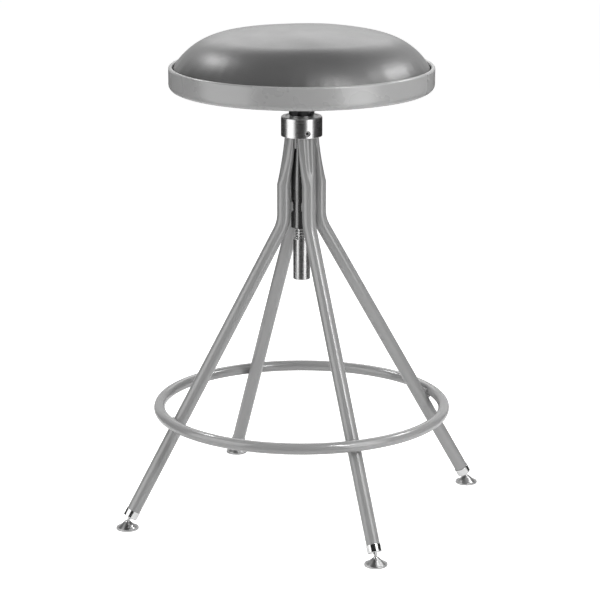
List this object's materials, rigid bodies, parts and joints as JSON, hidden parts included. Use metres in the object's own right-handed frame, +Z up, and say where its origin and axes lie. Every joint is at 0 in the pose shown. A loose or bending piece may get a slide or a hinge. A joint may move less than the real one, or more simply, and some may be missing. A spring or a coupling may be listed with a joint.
{
  "type": "machinist stool",
  "caption": "Backless shop stool: round crowned cushion in a steel pan, screw lift in a plated hub, four splayed tube legs with a foot ring and swivel glides.",
  "frame": {"origin": "on the floor, below the centre of the seat and hub", "axes": "+Z up the screw, +X towards the right leg, -Y towards the front leg"},
  "size_m": [0.5606, 0.5606, 0.6936],
  "materials": {
    "frame_paint": "semi-gloss grey enamel",
    "pan_paint": "satin grey enamel",
    "bright_plate": "bright plated steel",
    "dark_steel": "oiled dark steel",
    "black_steel": "black oxide",
    "zinc_steel": "zinc plated",
    "plywood": "raw plywood",
    "foam": "open-cell foam",
    "grey_vinyl": "grained grey vinyl"
  },
  "bodies": {
    "frame": {"leg_right": "frame_paint", "leg_back": "frame_paint", "leg_left": "frame_paint", "leg_front": "frame_paint", "boot_right": "bright_plate", "boot_back": "bright_plate", "boot_left": "bright_plate", "boot_front": "bright_plate", "ball_stud_right": "bright_plate", "ball_stud_back": "bright_plate", "ball_stud_left": "bright_plate", "ball_stud_front": "bright_plate", "foot_ring": "frame_paint", "ring_welds": "frame_paint", "guide_tube": "dark_steel", "hub_collar": "bright_plate", "collar_set_screw": "dark_steel", "lift_nut": "dark_steel", "hub_welds": "frame_paint"},
    "sleeve": {"guide_sleeve": "bright_plate"},
    "seat": {"spindle": "bright_plate", "keeper_washer": "zinc_steel", "keeper_screw": "zinc_steel", "seat_plate": "frame_paint", "spindle_weld": "frame_paint", "seat_pan": "pan_paint", "seat_bolts": "zinc_steel", "bolt_washers": "zinc_steel", "tee_nuts": "zinc_steel", "seat_board": "plywood", "seat_foam": "foam", "seat_cover": "grey_vinyl", "cover_staples": "zinc_steel"},
    "lock_nut": {"jam_nut": "black_steel"},
    "glide_right": {"glide_base_right": "bright_plate"},
    "glide_back": {"glide_base_back": "bright_plate"},
    "glide_left": {"glide_base_left": "bright_plate"},
    "glide_front": {"glide_base_front": "bright_plate"}
  },
  "joints": [
    {"name": "seat_lift", "type": "slide", "parent": "frame", "child": "sleeve", "axis": [0, 0, 1], "range_m": [0, 0.1361]},
    {"name": "seat_turn", "type": "hinge", "parent": "sleeve", "child": "seat", "pos_m": [0, 0, 0.3958], "axis": [0, 0, 1], "range_deg": [0, 12240]},
    {"name": "jam_nut_run", "type": "slide", "parent": "seat", "child": "lock_nut", "axis": [0, 0, 1], "range_m": [0, 0.005]},
    {"name": "glide_tilt_right", "type": "hinge", "parent": "frame", "child": "glide_right", "pos_m": [0.2644, 0, 0.0096], "axis": [0, -1, 0], "range_deg": [0, 60]},
    {"name": "glide_tilt_back", "type": "hinge", "parent": "frame", "child": "glide_back", "pos_m": [0, 0.2644, 0.0096], "axis": [1, 0, 0], "range_deg": [0, 60]},
    {"name": "glide_tilt_left", "type": "hinge", "parent": "frame", "child": "glide_left", "pos_m": [-0.2644, 0, 0.0096], "axis": [0, 1, 0], "range_deg": [0, 60]},
    {"name": "glide_tilt_front", "type": "hinge", "parent": "frame", "child": "glide_front", "pos_m": [0, -0.2644, 0.0096], "axis": [-1, 0, 0], "range_deg": [0, 60]}
  ],
  "couplings": [
    {"joint": "seat_lift", "follows": "seat_turn", "m_per_rad": 0.00063662}
  ]
}
